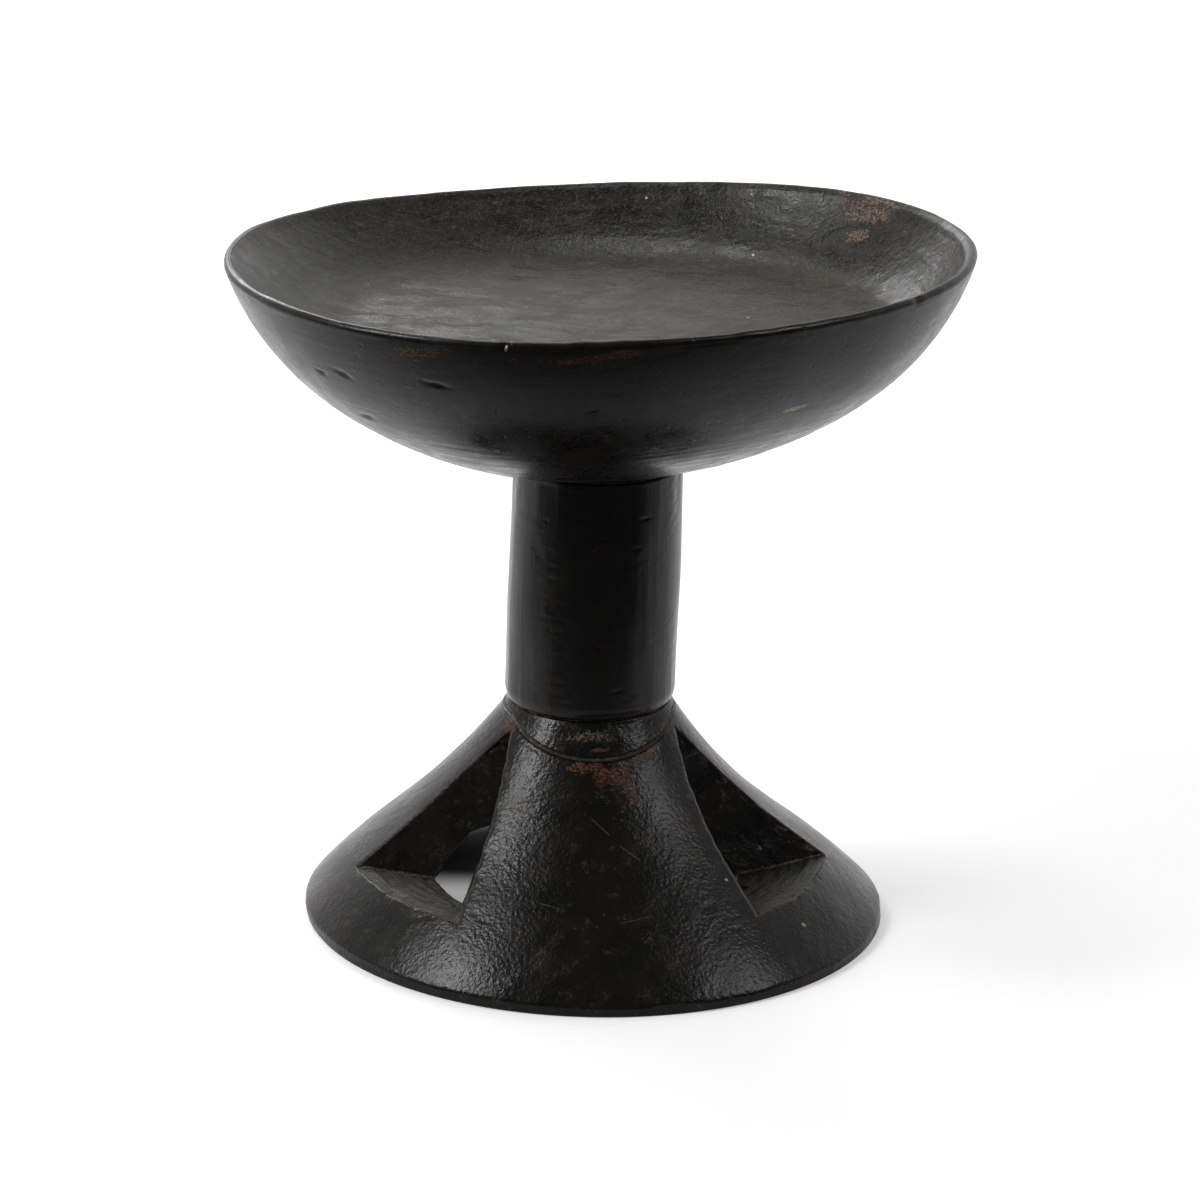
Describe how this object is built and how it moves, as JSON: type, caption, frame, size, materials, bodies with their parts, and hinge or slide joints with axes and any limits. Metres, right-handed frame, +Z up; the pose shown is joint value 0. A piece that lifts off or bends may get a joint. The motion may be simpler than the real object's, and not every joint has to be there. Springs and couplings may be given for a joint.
{
  "type": "footed plate",
  "caption": "Deep round plate carved in dark hardwood, on a round adzed stem and a flared hollow foot pierced by triangular notches.",
  "frame": {"origin": "bottom centre of the whole part's box: the middle of its footprint, on the surface that the foot stands on", "axes": "+Z up through the plate, +X to the right and the plate's broadest way, -Y to the front"},
  "size_m": [0.2694, 0.2534, 0.2545],
  "materials": {
    "plate_wood": "dark patinated hardwood, satin sheen, worn and scratched inside the plate",
    "stem_wood": "dark patinated hardwood, polished by handling, adze facets",
    "foot_wood": "dark patinated hardwood, satin sheen, bare dusty wood in the notches",
    "putty": "dull crumbly gum and wood dust"
  },
  "bodies": {
    "root": {"dish": "plate_wood", "stem": "stem_wood", "collar": "foot_wood", "foot": "foot_wood", "upper_seam_putty": "putty", "lower_seam_putty": "putty", "collar_seam_putty": "putty"}
  },
  "joints": []
}
